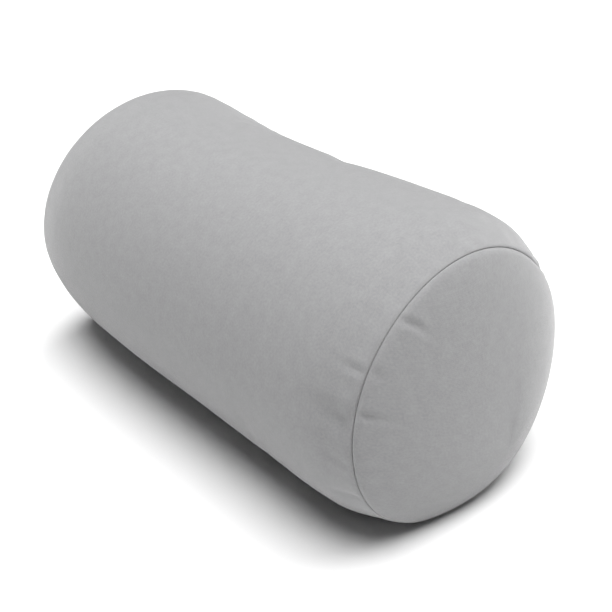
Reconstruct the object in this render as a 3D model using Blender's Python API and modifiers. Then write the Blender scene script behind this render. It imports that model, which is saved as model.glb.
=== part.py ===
"""A bolster pillow lying on its side: a bead-filled pad inside a zipped cover of stretch knit.

The pillow's length runs along X and z = 0 is the surface it rests on. The cover is a tube of knit
closed by a disc at each end. It opens along a straight zip at the back, which is the +Y side.
"""

import math

import bmesh
import bpy
from mathutils import Matrix, Vector

# Driving dimensions, in metres.
SEAM_RADIUS = 0.090
BODY_LENGTH = 0.319
END_RISE = 0.021
AXIS_HEIGHT = 0.082
KNIT = 0.001
LINER_CLOTH = 0.0005
GAP = 0.0003
SEAM_GAP = 0.0008
LINER_SEAM_GAP = 0.0004
SEAM_ALLOWANCE = 0.008
THREAD_RADIUS = 0.00025
THREAD_DEPTH = 0.001
OVERLOCK_OUT = 0.0008
ZIP_LENGTH = 0.236
ZIP_ANGLE = math.radians(15)
ZIP_PLANE = 0.094

# How the filled pillow differs from a plain round bar. Shares are of the seam radius.
OUTLINE = [
    (-1.0, 1.0),
    (-0.82, 1.030),
    (-0.45, 1.034),
    (0.0, 1.061),
    (0.45, 1.106),
    (0.82, 1.114),
    (1.0, 1.0),
]
WIDER = 0.030
BEND = -0.073
BEND_SKEW = -1.86
LOWER_BACK = math.radians(-25)
TOE_IN = 0.055
NEAR_LEAN = 0.078
FAR_LEAN = 0.012
DOME_FULLNESS = 0.75
DOME_SAG = 0.50
DOME_DRIFT = 0.27
FLAT_ROUNDING = 0.006
ZIP_PULL_IN = 0.38
ZIP_PULL_OUT = 0.0025
ZIP_ROUNDING = 0.0006

# Each layer is set in from the outside of the cover, and further in at the end seams and the zip.
# Sides and rings say how finely its mesh is divided.
COVER_LAYER = {
    "inset": 0.0,
    "end_inset": 0.0,
    "zip_inset": 0.0,
    "sides": 48,
    "rings": 18,
    "dome_rings": 6,
}
LINER_LAYER = {
    "inset": 0.0018,
    "end_inset": 0.0085,
    "zip_inset": 0.0041,
    "sides": 24,
    "rings": 12,
    "dome_rings": 5,
}
FILL_LAYER = dict(LINER_LAYER, inset=0.0028, end_inset=0.0097, zip_inset=0.0052)

# The zip, in its own frame: X along it, Y down the back, Z straight out of the cover.
SLOT_HALF = 0.0037
SLOT_END = ZIP_LENGTH / 2 + 0.006
TAPE_END = ZIP_LENGTH / 2 + 0.011
TAPE_INNER, TAPE_OUTER = 0.0004, 0.012
TAPE_LOW, TAPE_HIGH = -0.0019, -0.0013
TOOTH_PITCH = 0.0032
TOOTH_WIDTH = 0.0013
TOOTH_REACH = 0.0009
SPINE_INNER, SPINE_OUTER = 0.0015, 0.0029
TEETH_LOW, TEETH_HIGH = -0.001, 0.0012
STOP_HIGH = 0.0018
TOP_STOP_LENGTH = 0.0022
BOTTOM_STOP_LENGTH = 0.0032
STITCH_OUT = 0.0066
STITCH_PAST_SLOT = 0.003
SLIDER_HALF = 0.005
SLIDER_WIDTH = 0.0094
SLIDER_REST = ZIP_LENGTH / 2 - 0.006
SLIDER_LOW, SLIDER_HIGH = 0.0015, 0.0027
CHEEK = 0.0014
BACK_LOW, BACK_HIGH = -0.0034, -0.0022
ARCH_HALF, ARCH_HALF_WIDTH, ARCH_TOP = 0.0032, 0.0009, 0.0056
ARCH_OPENING_HALF, ARCH_OPENING_TOP = 0.0022, 0.0046
PIN_HEIGHT = 0.00365
PIN_RADIUS = 0.00065
TAB_LENGTH = 0.024
TAB_HALF = 0.0031
WINDOW_LENGTH, WINDOW_HALF = 0.0042, 0.0013

# The blank label, held in the -X end seam and lying on the cover below the zip.
LABEL_THICK = 0.0008
LABEL_START = 0.0025
LABEL_LENGTH = 0.020
LABEL_ANGLE = math.radians(-24)
LABEL_SPREAD = math.radians(20)
LABEL_STEPS = 6


def clear_scene():
    for obj in list(bpy.data.objects):
        bpy.data.objects.remove(obj, do_unlink=True)


def new_collection(name):
    collection = bpy.data.collections.new(name)
    bpy.context.scene.collection.children.link(collection)
    return collection


def make_material(name, colour, roughness, metallic=0.0):
    material = bpy.data.materials.new(name)
    material.use_nodes = True
    shader = material.node_tree.nodes["Principled BSDF"]
    shader.inputs["Base Color"].default_value = (*colour, 1.0)
    shader.inputs["Roughness"].default_value = roughness
    shader.inputs["Metallic"].default_value = metallic
    return material


def add_object(name, data, material, parent=None):
    obj = bpy.data.objects.new(name, data)
    data.materials.append(material)
    PILLOW.objects.link(obj)
    obj.parent = parent
    return obj


def mesh_object(name, bm, material, parent=None, smooth=True):
    mesh = bpy.data.meshes.new(name)
    bm.to_mesh(mesh)
    bm.free()
    if smooth:
        mesh.shade_smooth()
    return add_object(name, mesh, material, parent)


# The shape of the filled pillow.


def slope_at(points, i):
    before = points[max(i - 1, 0)]
    after = points[min(i + 1, len(points) - 1)]
    return (after[1] - before[1]) / (after[0] - before[0])


def smooth_through(points, at):
    """Height at a place along the smooth curve that passes through all the points."""
    i = max(k for k in range(len(points) - 1) if k == 0 or points[k][0] <= at)
    (x0, y0), (x1, y1) = points[i], points[i + 1]
    run = x1 - x0
    t = (at - x0) / run
    ends = y0 * (1 + 2 * t) * (1 - t) ** 2 + y1 * (3 - 2 * t) * t**2
    leaving = slope_at(points, i) * t * (1 - t) ** 2
    arriving = slope_at(points, i + 1) * (1 - t) * t**2
    return ends + run * (leaving - arriving)


def pressed(height, rounding):
    """Height above a flat face that pushes back all that would pass it, with a soft edge."""
    if height < -rounding:
        return 0.0
    if height < rounding:
        return (height + rounding) ** 2 / (4 * rounding)
    return height


def rest_on_floor(z, inset):
    return inset + pressed(z - inset, FLAT_ROUNDING)


def tilted(side, x, y, z, share=1.0):
    """Both ends toe in at the back and lean back at the top, the +X end the more."""
    lean = NEAR_LEAN if side > 0 else FAR_LEAN
    return x - side * share * (TOE_IN * y + lean * (z - AXIS_HEIGHT))


def body_point(station, angle, layer):
    """A point of the body: station runs from -1 at the -X end seam to 1 at the +X end seam."""
    ending = abs(station) ** 12
    inset = layer["inset"] + (layer["end_inset"] - layer["inset"]) * ending
    radius = SEAM_RADIUS * smooth_through(OUTLINE, station) - inset
    bend = BEND * SEAM_RADIUS * (1 - station**2) * (1 + BEND_SKEW * station)
    bend *= 1 - max(0.0, math.cos(angle - LOWER_BACK)) ** 4
    across = radius * (1 + WIDER) * math.cos(angle) + bend
    up = radius * (1 - WIDER) * math.sin(angle)
    # The zip's tapes hold a straight flat strip along the back.
    from_zip = math.remainder(angle - ZIP_ANGLE, math.tau)
    hold = math.exp(-((from_zip / ZIP_PULL_IN) ** 4)) * (1 - abs(station) ** 14)
    straight = ZIP_PLANE + ZIP_PULL_OUT - layer["inset"]
    across += hold * (straight * math.cos(angle) - across)
    up += hold * (straight * math.sin(angle) - up)
    outward = across * math.cos(ZIP_ANGLE) + up * math.sin(ZIP_ANGLE)
    plane = ZIP_PLANE - layer["zip_inset"] * (1 - ending) - inset * ending
    excess = plane - pressed(plane - outward, ZIP_ROUNDING) - outward
    across += excess * math.cos(ZIP_ANGLE)
    up += excess * math.sin(ZIP_ANGLE)
    z = rest_on_floor(AXIS_HEIGHT + up, inset)
    side = math.copysign(1, station)
    x = station * (BODY_LENGTH / 2 - layer["end_inset"])
    return Vector((tilted(side, x, across, z, abs(station) ** 3), across, z))


def end_point(side, turn, angle, layer, gap=0.0):
    """A point of an end dome: turn runs from 0 at the seam to a right angle at the crown."""
    share = math.cos(turn)
    radius = (SEAM_RADIUS - layer["end_inset"]) * share
    rise = END_RISE + layer["end_inset"] - layer["inset"] - gap
    across = radius * (1 + WIDER) * math.cos(angle) + DOME_DRIFT * SEAM_RADIUS * (1 - share)
    up = radius * (1 - WIDER) * math.sin(angle) - DOME_SAG * SEAM_RADIUS * (1 - share)
    inset = layer["end_inset"] * share + layer["inset"] * (1 - share)
    z = rest_on_floor(AXIS_HEIGHT + up, inset)
    out = gap + rise * math.sin(turn) ** (2 * DOME_FULLNESS)
    x = side * (BODY_LENGTH / 2 - layer["end_inset"] + out)
    return Vector((tilted(side, x, across, z), across, z))


def inward_from_seam(point, side, depth):
    """A point below the end seam, halfway between straight in and straight along the pillow."""
    step = depth * math.sqrt(0.5)
    centre = Vector((0, 0, AXIS_HEIGHT))
    spoke = Vector((0, point.y, point.z)) - centre
    return point - spoke.normalized() * step - Vector((side * step, 0, 0))


# Panels.


def open_tube(layer):
    """A tube along X of unit radius, from x = -1 to 1, with its rings closer near the ends."""
    bm = bmesh.new()
    along_x = Matrix.Rotation(math.pi / 2, 4, "Y")
    bmesh.ops.create_cone(
        bm,
        cap_ends=False,
        segments=layer["sides"],
        radius1=1,
        radius2=1,
        depth=2,
        matrix=along_x,
    )
    lengthwise = [e for e in bm.edges if abs(e.verts[0].co.x - e.verts[1].co.x) > 1]
    bmesh.ops.subdivide_edges(bm, edges=lengthwise, cuts=layer["rings"] - 1, use_grid_fill=True)
    for vert in bm.verts:
        vert.co.x = math.sin(vert.co.x * math.pi / 2)
    return bm


def half_ball(side, layer):
    """Half of a unit ball whose crown points along X to that side."""
    bm = bmesh.new()
    turned = Matrix.Rotation(side * math.pi / 2, 4, "Y")
    bmesh.ops.create_uvsphere(
        bm,
        u_segments=layer["sides"],
        v_segments=2 * layer["dome_rings"],
        radius=1,
        matrix=turned,
    )
    behind = [v for v in bm.verts if side * v.co.x < -0.001]
    bmesh.ops.delete(bm, geom=behind, context="VERTS")
    return bm


def angle_of(co):
    return math.atan2(co.z, co.y)


def shape_tube(bm, layer, gap):
    """Lays the unit tube on the body, stopping short of each end seam by the gap."""
    for vert in bm.verts:
        station = vert.co.x
        vert.co = body_point(station, angle_of(vert.co), layer)
        vert.co.x -= math.copysign(gap, station) * abs(station) ** 12


def shape_dome(bm, side, layer, gap):
    for vert in bm.verts:
        turn = math.asin(max(-1.0, min(1.0, side * vert.co.x)))
        vert.co = end_point(side, max(turn, 0.0), angle_of(vert.co), layer, gap)


def turn_in_edges(bm, sides):
    """Adds the seam allowance: each open edge continues inwards, out of sight."""
    rim = [e for e in bm.edges if e.is_boundary]
    new = bmesh.ops.extrude_edge_only(bm, edges=rim)["geom"]
    for vert in [g for g in new if isinstance(g, bmesh.types.BMVert)]:
        side = sides[0] if len(sides) == 1 else math.copysign(1, vert.co.x)
        vert.co = inward_from_seam(vert.co, side, SEAM_ALLOWANCE)


def thicken(obj, thickness):
    solidify = obj.modifiers.new("cloth thickness", "SOLIDIFY")
    solidify.thickness = thickness
    solidify.offset = -1
    solidify.use_even_offset = True
    solidify.use_quality_normals = True


def outward_faces(bm):
    bmesh.ops.recalc_face_normals(bm, faces=bm.faces)
    crown = max(bm.faces, key=lambda f: f.calc_center_median().z)
    if crown.normal.z < 0:
        bmesh.ops.reverse_faces(bm, faces=bm.faces)


def body_panel(name, layer, gap, cloth, material, allowance):
    bm = open_tube(layer)
    shape_tube(bm, layer, gap)
    outward_faces(bm)
    if allowance:
        turn_in_edges(bm, (-1, 1))
    panel = mesh_object(name, bm, material)
    thicken(panel, cloth)
    return panel


def end_panel(name, side, layer, gap, cloth, material, allowance):
    bm = half_ball(side, layer)
    shape_dome(bm, side, layer, gap)
    bmesh.ops.recalc_face_normals(bm, faces=bm.faces)
    crown = max(bm.faces, key=lambda f: side * f.calc_center_median().x)
    if crown.normal.x * side < 0:
        bmesh.ops.reverse_faces(bm, faces=bm.faces)
    if allowance:
        turn_in_edges(bm, (side,))
    panel = mesh_object(name, bm, material)
    thicken(panel, cloth)
    return panel


def thread_loop(name, points, material, parent=None):
    curve = bpy.data.curves.new(name, "CURVE")
    curve.dimensions = "3D"
    curve.bevel_depth = THREAD_RADIUS
    curve.bevel_resolution = 1
    line = curve.splines.new("POLY")
    line.points.add(len(points) - 1)
    for place, point in zip(line.points, points):
        place.co = (*point, 1)
    line.use_cyclic_u = True
    return add_object(name, curve, material, parent)


def end_seam_thread(name, side, layer, depth, material):
    points = []
    for k in range(layer["sides"]):
        on_seam = body_point(side, k * math.tau / layer["sides"], layer)
        points.append(inward_from_seam(on_seam, side, depth))
    return thread_loop(name, points, material)


def filling(name, layer, material):
    """The beads as one solid: the body and both domes, joined at their rims."""
    bm = open_tube(layer)
    shape_tube(bm, layer, 0.0)
    parts = [bm]
    for side in (-1, 1):
        dome = half_ball(side, layer)
        shape_dome(dome, side, layer, 0.0)
        parts.append(dome)
    mesh = bpy.data.meshes.new(name)
    whole = bmesh.new()
    for part in parts:
        part.to_mesh(mesh)
        part.free()
        whole.from_mesh(mesh)
    bmesh.ops.remove_doubles(whole, verts=whole.verts, dist=0.00005)
    outward_faces(whole)
    whole.to_mesh(mesh)
    whole.free()
    mesh.shade_smooth()
    return add_object(name, mesh, material)


# The zip.


def box(name, low, high, material, parent, bevel=0.0):
    bm = bmesh.new()
    bmesh.ops.create_cube(bm, size=1)
    low, high = Vector(low), Vector(high)
    for vert in bm.verts:
        vert.co = Vector(a * b for a, b in zip(vert.co, high - low)) + (low + high) / 2
    obj = mesh_object(name, bm, material, parent, smooth=False)
    if bevel:
        rounding = obj.modifiers.new("rounding", "BEVEL")
        rounding.width = bevel
        rounding.segments = 2
    return obj


def flat_shape(name, outline, low, high, material, parent):
    """A flat outline in the zip's frame, given a thickness from low to high."""
    curve = bpy.data.curves.new(name, "CURVE")
    curve.dimensions = "2D"
    curve.fill_mode = "BOTH"
    curve.extrude = (high - low) / 2
    line = curve.splines.new("POLY")
    line.points.add(len(outline) - 1)
    for place, (x, y) in zip(line.points, outline):
        place.co = (x, y, 0, 1)
    line.use_cyclic_u = True
    obj = add_object(name, curve, material, parent)
    obj.location = (0, 0, (low + high) / 2)
    return obj


def comb(side, shift):
    """Outline of one row of teeth. The row lies on that side and its teeth point to the other."""
    count = int((ZIP_LENGTH - TOOTH_PITCH) / TOOTH_PITCH)
    start = -ZIP_LENGTH / 2
    outline = [(-start, side * SPINE_OUTER), (start, side * SPINE_OUTER)]
    for k in range(count):
        left = start + shift + k * TOOTH_PITCH
        right = left + TOOTH_WIDTH
        root, tip = side * SPINE_INNER, -side * TOOTH_REACH
        outline += [(left, root), (left, tip), (right, tip), (right, root)]
    if shift == 0:
        outline = [p for p in outline if p != (start, side * SPINE_INNER)]
    else:
        outline.insert(2, (start, side * SPINE_INNER))
    outline.append((-start, side * SPINE_INNER))
    return outline


def boolean(obj, other, operation):
    modifier = obj.modifiers.new(operation.lower(), "BOOLEAN")
    modifier.operation = operation
    modifier.solver = "EXACT"
    modifier.object = other
    other.hide_render = True
    other.display_type = "WIRE"
    PILLOW.objects.unlink(other)
    CUTTERS.objects.link(other)


def zip_parts(back):
    for word, side in (("upper", -1), ("lower", 1)):
        edges = sorted((side * TAPE_INNER, side * TAPE_OUTER))
        low = (-TAPE_END, edges[0], TAPE_LOW)
        high = (TAPE_END, edges[1], TAPE_HIGH)
        box(f"zip_tape_{word}", low, high, ZIP_CLOTH, back)
        row = comb(side, 0 if side < 0 else TOOTH_PITCH / 2)
        flat_shape(f"zip_teeth_{word}", row, TEETH_LOW, TEETH_HIGH, ZIP_PLASTIC, back)
        edges = sorted((side * GAP, side * SPINE_OUTER))
        start = ZIP_LENGTH / 2 + GAP
        low = (start, edges[0], TEETH_LOW)
        high = (start + TOP_STOP_LENGTH, edges[1], STOP_HIGH)
        box(f"zip_top_stop_{word}", low, high, ZIP_METAL, back, bevel=0.0003)
    start = -ZIP_LENGTH / 2 - GAP
    low = (start - BOTTOM_STOP_LENGTH, -SPINE_OUTER, TEETH_LOW)
    high = (start, SPINE_OUTER, STOP_HIGH)
    box("zip_bottom_stop", low, high, ZIP_METAL, back, bevel=0.0003)
    across, along = STITCH_OUT, SLOT_END + STITCH_PAST_SLOT
    above = GAP + THREAD_RADIUS
    corners = [(-along, -across), (along, -across), (along, across), (-along, across)]
    thread_loop("zip_stitching", [(x, y, above) for x, y in corners], THREAD, back)


def zip_slider(back):
    """The slider rides on the closed chain. Its empty is at its middle, so it slides from there."""
    mover = bpy.data.objects.new("slider_position", None)
    PILLOW.objects.link(mover)
    mover.parent = back
    mover.location = (SLIDER_REST, 0, 0)
    half, width = SLIDER_HALF, SLIDER_WIDTH / 2
    low, high = (-half, -width, SLIDER_LOW), (half, width, SLIDER_HIGH)
    plate = box("zip_slider", low, high, ZIP_METAL, mover)
    for side in (-1, 1):
        edges = sorted((side * (width - CHEEK), side * width))
        low, high = (-half, edges[0], GAP), (half, edges[1], SLIDER_LOW + GAP)
        boolean(plate, box("cheek", low, high, ZIP_METAL, mover), "UNION")
    low = (-ARCH_HALF, -ARCH_HALF_WIDTH, SLIDER_HIGH - GAP)
    high = (ARCH_HALF, ARCH_HALF_WIDTH, ARCH_TOP)
    boolean(plate, box("arch", low, high, ZIP_METAL, mover), "UNION")
    low = (-ARCH_OPENING_HALF, -2 * ARCH_HALF_WIDTH, SLIDER_HIGH)
    high = (ARCH_OPENING_HALF, 2 * ARCH_HALF_WIDTH, ARCH_OPENING_TOP)
    boolean(plate, box("arch_opening", low, high, ZIP_METAL, mover), "DIFFERENCE")
    rounding = plate.modifiers.new("rounding", "BEVEL")
    rounding.width = 0.0003
    rounding.segments = 2
    low, high = (-half, -width, BACK_LOW), (half, width, BACK_HIGH)
    box("zip_slider_back", low, high, ZIP_METAL, mover, bevel=0.0004)
    return mover


def pull_tab(mover):
    """The tab lies back over the closed chain. Its empty is on its pin, which is its hinge."""
    hinge = bpy.data.objects.new("pull_tab_hinge", None)
    PILLOW.objects.link(hinge)
    hinge.parent = mover
    hinge.location = (0, 0, PIN_HEIGHT)
    low, high = (-TAB_LENGTH, -TAB_HALF, -PIN_RADIUS), (0, TAB_HALF, PIN_RADIUS)
    tab = box("zip_pull_tab", low, high, ZIP_METAL, hinge)
    low = (-WINDOW_LENGTH, -WINDOW_HALF, -3 * PIN_RADIUS)
    high = (3 * PIN_RADIUS, WINDOW_HALF, 3 * PIN_RADIUS)
    boolean(tab, box("window", low, high, ZIP_METAL, hinge), "DIFFERENCE")
    bm = bmesh.new()
    across = Matrix.Rotation(math.pi / 2, 4, "X")
    bmesh.ops.create_cone(
        bm,
        cap_ends=True,
        segments=16,
        radius1=PIN_RADIUS,
        radius2=PIN_RADIUS,
        depth=2 * TAB_HALF,
        matrix=across,
    )
    boolean(tab, mesh_object("pin", bm, ZIP_METAL, hinge), "UNION")
    rounding = tab.modifiers.new("rounding", "BEVEL")
    rounding.width = 0.0002
    rounding.segments = 2
    rounding.limit_method = "ANGLE"


def care_label(layer):
    """A blank folded label, held in the -X end seam below the zip, lying on the cover."""
    lift = GAP + LABEL_THICK
    lifted = dict(layer, inset=-lift, end_inset=-lift, zip_inset=-lift)
    bm = bmesh.new()
    bmesh.ops.create_grid(bm, x_segments=LABEL_STEPS, y_segments=LABEL_STEPS, size=0.5)
    for vert in bm.verts:
        x = LABEL_START + LABEL_LENGTH * (vert.co.x + 0.5) - BODY_LENGTH / 2
        angle = LABEL_ANGLE + LABEL_SPREAD * vert.co.y
        vert.co = body_point(x / (BODY_LENGTH / 2), angle, lifted)
    bmesh.ops.recalc_face_normals(bm, faces=bm.faces)
    if next(iter(bm.faces)).normal.y < 0:
        bmesh.ops.reverse_faces(bm, faces=bm.faces)
    label = mesh_object("care_label", bm, LABEL_CLOTH)
    thicken(label, LABEL_THICK)


clear_scene()
PILLOW = new_collection("bolster_pillow")
CUTTERS = new_collection("cutters")

COVER_KNIT = make_material("grey stretch knit", (0.45, 0.45, 0.45), 0.9)
LINER_WEAVE = make_material("white liner cloth", (0.8, 0.8, 0.79), 0.9)
BEADS = make_material("foam beads", (0.88, 0.88, 0.87), 0.7)
THREAD = make_material("grey sewing thread", (0.33, 0.33, 0.34), 0.7)
ZIP_CLOTH = make_material("grey zip tape", (0.38, 0.38, 0.39), 0.8)
ZIP_PLASTIC = make_material("grey moulded teeth", (0.3, 0.3, 0.31), 0.45)
ZIP_METAL = make_material("nickel-plated zinc", (0.6, 0.59, 0.57), 0.3, 1.0)
LABEL_CLOTH = make_material("white satin ribbon", (0.82, 0.82, 0.8), 0.5)

cover = body_panel("cover_body_panel", COVER_LAYER, SEAM_GAP, KNIT, COVER_KNIT, True)
body_panel("liner_body_panel", LINER_LAYER, LINER_SEAM_GAP, LINER_CLOTH, LINER_WEAVE, False)
for end, direction in (("near", 1), ("far", -1)):
    name = f"cover_{end}_end_panel"
    end_panel(name, direction, COVER_LAYER, SEAM_GAP, KNIT, COVER_KNIT, True)
    name = f"cover_{end}_seam_thread"
    end_seam_thread(name, direction, COVER_LAYER, THREAD_DEPTH, THREAD)
    name = f"liner_{end}_end_panel"
    end_panel(name, direction, LINER_LAYER, LINER_SEAM_GAP, LINER_CLOTH, LINER_WEAVE, False)
    name = f"liner_{end}_seam_thread"
    end_seam_thread(name, direction, LINER_LAYER, -OVERLOCK_OUT, THREAD)
filling("bead_filling", FILL_LAYER, BEADS)

zip_frame = bpy.data.objects.new("zip_frame", None)
PILLOW.objects.link(zip_frame)
zip_height = AXIS_HEIGHT + ZIP_PLANE * math.sin(ZIP_ANGLE)
zip_frame.location = (0, ZIP_PLANE * math.cos(ZIP_ANGLE), zip_height)
zip_frame.rotation_euler = (ZIP_ANGLE - math.pi / 2, 0, 0)
zip_parts(zip_frame)
pull_tab(zip_slider(zip_frame))
low, high = (-SLOT_END, -SLOT_HALF, -0.01), (SLOT_END, SLOT_HALF, 0.01)
boolean(cover, box("zip_slot", low, high, ZIP_CLOTH, zip_frame), "DIFFERENCE")
care_label(COVER_LAYER)
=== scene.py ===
"""A bead-filled bolster pillow in a zipped cover of grey stretch knit, lying on its side.

The pillow's length runs along X, +Y is its back, where the zip is, and z = 0 is the surface under it.
"""

import math

import bmesh
import bpy
import numpy as np
from mathutils import Matrix, Vector


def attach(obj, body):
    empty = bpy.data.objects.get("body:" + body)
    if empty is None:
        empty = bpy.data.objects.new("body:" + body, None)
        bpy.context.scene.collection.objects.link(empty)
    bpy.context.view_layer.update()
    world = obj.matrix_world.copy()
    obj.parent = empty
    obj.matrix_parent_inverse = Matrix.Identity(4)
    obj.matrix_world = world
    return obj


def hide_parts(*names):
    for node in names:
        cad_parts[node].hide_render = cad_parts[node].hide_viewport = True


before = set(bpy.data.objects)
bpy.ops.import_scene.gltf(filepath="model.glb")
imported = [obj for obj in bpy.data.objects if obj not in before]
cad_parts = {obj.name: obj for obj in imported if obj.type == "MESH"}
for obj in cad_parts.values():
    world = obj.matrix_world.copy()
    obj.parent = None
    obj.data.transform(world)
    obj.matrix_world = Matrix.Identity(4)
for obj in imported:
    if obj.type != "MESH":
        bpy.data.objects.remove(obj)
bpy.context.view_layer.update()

# The filled pillow's shape, in metres. Shares are of the end seam's radius.
SEAM_RADIUS = 0.090
BODY_LENGTH = 0.319
END_RISE = 0.021
AXIS_HEIGHT = 0.082
OUTLINE = [
    (-1.0, 1.0),
    (-0.82, 1.030),
    (-0.45, 1.034),
    (0.0, 1.061),
    (0.45, 1.106),
    (0.82, 1.114),
    (1.0, 1.0),
]
WIDER = 0.030
BEND = -0.073
BEND_SKEW = -1.86
LOWER_BACK = math.radians(-25)
TOE_IN = 0.055
NEAR_LEAN = 0.078
FAR_LEAN = 0.012
DOME_FULLNESS = 0.75
DOME_SAG = 0.50
DOME_DRIFT = 0.27
FLAT_ROUNDING = 0.006

# The zip, seen in its own frame: X along it, Y down the back, Z straight out of the cover.
ZIP_ANGLE = math.radians(15)
ZIP_PLANE = 0.094
ZIP_LENGTH = 0.236
ZIP_PULL_IN = 0.38
ZIP_PULL_OUT = 0.0025
ZIP_ROUNDING = 0.0006
SLOT_HALF = 0.0037
SLOT_END = 0.124
HEM_RADIUS = 0.0006
HEM_UNDER = 0.0044
TOOTH_PITCH = 0.0032
STITCH_OUT = 0.0066
STITCH_END = 0.127
TAPE_END = 0.129
TAPE_EDGE = 0.0011
TAPE_OUTER = 0.012
TOOTH_HALF = 0.0011
SLIDER_REST = 0.112
PIN_HEIGHT = 0.00365

# How each layer is set in from the cover's outside: generally, at the end seams and at the zip.
COVER_LAYER = (0.0, 0.0, 0.0)
LINER_LAYER = (0.0018, 0.0085, 0.0041)
FILL_LAYER = (0.0028, 0.0097, 0.0052)

# How thick the cloths are drawn, and half of the gap between two panels at their seam.
KNIT_SHOWN = 0.0006
LINER_SHOWN = 0.0004
SEAM_HALF_GAP = 0.00004
LINER_HALF_GAP = 0.0004
SEAM_DEPTH = 0.006

# The cover's grid: points round it, rows along the body and rings on an end. Nearer to an end
# seam than ROWS_LEVEL_TO, the body's rows follow where the seam's roll begins. It is more than the
# widest roll, so that no row crosses the next.
AROUND = 288
BODY_ROWS = 104
END_RINGS = 76
ROWS_LEVEL_TO = 0.0072


# The shape of the filled pillow.


def smooth_through(points, at):
    """Height at places along the smooth curve that passes through all the points."""
    places, heights = np.array(points).T
    last = len(places) - 1
    before = np.maximum(np.arange(last + 1) - 1, 0)
    after = np.minimum(np.arange(last + 1) + 1, last)
    slopes = (heights[after] - heights[before]) / (places[after] - places[before])
    i = np.clip(np.searchsorted(places, at, side="right") - 1, 0, last - 1)
    run = places[i + 1] - places[i]
    t = (at - places[i]) / run
    ends = heights[i] * (1 + 2 * t) * (1 - t) ** 2 + heights[i + 1] * (3 - 2 * t) * t**2
    return ends + run * (slopes[i] * t * (1 - t) ** 2 - slopes[i + 1] * (1 - t) * t**2)


def pressed(height, rounding):
    """Height above a flat face that pushes back all that would pass it, with a soft edge."""
    near = np.clip(height + rounding, 0, 2 * rounding)
    return near**2 / (4 * rounding) + np.maximum(height - rounding, 0)


def tilted(side, x, y, z, share=1.0):
    """Both ends toe in at the back and lean back at the top, the +X end the more."""
    lean = np.where(side > 0, NEAR_LEAN, FAR_LEAN)
    return x - side * share * (TOE_IN * y + lean * (z - AXIS_HEIGHT))


def body_point(station, angle, layer=COVER_LAYER):
    """Points of the body: station runs from -1 at the -X end seam to 1 at the +X end seam."""
    station, angle = np.broadcast_arrays(station, angle)
    general, at_end, at_zip = layer
    ending = np.abs(station) ** 12
    inset = general + (at_end - general) * ending
    radius = SEAM_RADIUS * smooth_through(OUTLINE, station) - inset
    bend = BEND * SEAM_RADIUS * (1 - station**2) * (1 + BEND_SKEW * station)
    bend = bend * (1 - np.maximum(0, np.cos(angle - LOWER_BACK)) ** 4)
    across = radius * (1 + WIDER) * np.cos(angle) + bend
    up = radius * (1 - WIDER) * np.sin(angle)
    # The zip's tapes hold a straight flat strip along the back.
    from_zip = turned_from(angle, ZIP_ANGLE)
    hold = np.exp(-((from_zip / ZIP_PULL_IN) ** 4)) * (1 - np.abs(station) ** 14)
    straight = ZIP_PLANE + ZIP_PULL_OUT - general
    across = across + hold * (straight * np.cos(angle) - across)
    up = up + hold * (straight * np.sin(angle) - up)
    outward = across * math.cos(ZIP_ANGLE) + up * math.sin(ZIP_ANGLE)
    plane = ZIP_PLANE - at_zip * (1 - ending) - inset * ending
    excess = plane - pressed(plane - outward, ZIP_ROUNDING) - outward
    across = across + excess * math.cos(ZIP_ANGLE)
    up = up + excess * math.sin(ZIP_ANGLE)
    z = inset + pressed(AXIS_HEIGHT + up - inset, FLAT_ROUNDING)
    x = station * (BODY_LENGTH / 2 - at_end)
    x = tilted(np.sign(station), x, across, z, np.abs(station) ** 3)
    return np.stack([x, across, z], axis=-1)


def end_point(side, turn, angle, layer=COVER_LAYER):
    """Points of an end dome: turn runs from 0 at the seam to a right angle at the crown."""
    turn, angle = np.broadcast_arrays(turn, angle)
    general, at_end, _ = layer
    share = np.cos(turn)
    radius = (SEAM_RADIUS - at_end) * share
    across = radius * (1 + WIDER) * np.cos(angle) + DOME_DRIFT * SEAM_RADIUS * (1 - share)
    up = radius * (1 - WIDER) * np.sin(angle) - DOME_SAG * SEAM_RADIUS * (1 - share)
    inset = at_end * share + general * (1 - share)
    z = inset + pressed(AXIS_HEIGHT + up - inset, FLAT_ROUNDING)
    out = (END_RISE + at_end - general) * np.sin(turn) ** (2 * DOME_FULLNESS)
    x = tilted(side, side * (BODY_LENGTH / 2 - at_end + out), across, z)
    return np.stack([x, across, z], axis=-1)


def turned_from(angle, place):
    """How far round an angle is from a place, from minus to plus half a turn."""
    return np.remainder(angle - place + math.pi, math.tau) - math.pi


def unit(vectors):
    return vectors / np.maximum(np.linalg.norm(vectors, axis=-1, keepdims=True), 1e-12)


def into_seam(points, side):
    """The way the cloth turns in at an end seam: halfway between straight in and along."""
    spokes = points - np.array([0, 0, AXIS_HEIGHT])
    spokes[..., 0] = 0
    return unit(-unit(spokes) - np.array([side, 0, 0]))


def outward_of(points):
    """Normals of a grid of points whose rows go along and whose columns go round."""
    along = np.gradient(points, axis=0)
    around = np.gradient(points, axis=1)
    return unit(np.cross(around, along))


# How the filling presses the cloth out between its seams, found by letting a coarse copy of the
# whole cover swell as cloth does.

SWELL_COLUMNS = 96
SWELL_ROWS = 56
SWELL_RINGS = 12
SWELL_OUT = 0.0012
SWELL_IN = 0.0007
SWELL_STEPS = 20

# What is held still: the end seams, the strip that the zip stiffens, and what rests on the floor.
STIFF_BACK = 0.080
STIFF_HALF_HEIGHT = 0.014
STIFF_HALF_LENGTH = 0.132
RESTS_BELOW = 0.0005


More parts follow.
